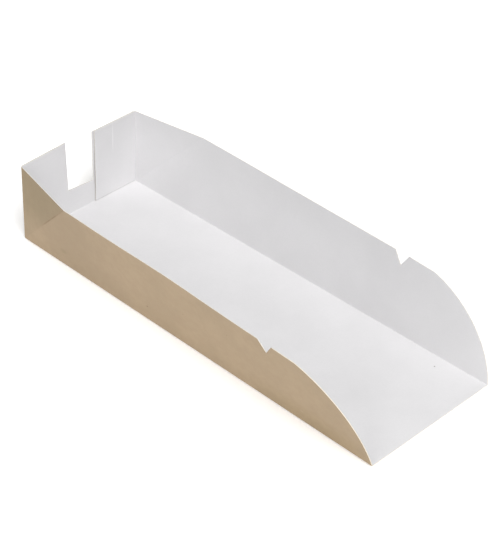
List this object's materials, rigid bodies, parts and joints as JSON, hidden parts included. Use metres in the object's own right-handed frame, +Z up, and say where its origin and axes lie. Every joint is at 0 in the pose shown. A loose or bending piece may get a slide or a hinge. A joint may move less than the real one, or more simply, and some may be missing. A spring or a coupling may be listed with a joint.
{
  "type": "food tray",
  "caption": "Open-fronted folded paperboard food tray: flat floor, leaning side walls with a V notch and a rounded front, and a slotted end wall with glued tabs.",
  "frame": {"origin": "underside of the floor, half way along and across it", "axes": "+X towards the open front, -X towards the slotted end wall, +Y and -Y towards the side walls, +Z up out of the tray"},
  "size_m": [0.2479, 0.1013, 0.0458],
  "materials": {
    "kraft_board": "matte, white coated on the inside"
  },
  "bodies": {
    "root": {"tray": "kraft_board"}
  },
  "joints": []
}
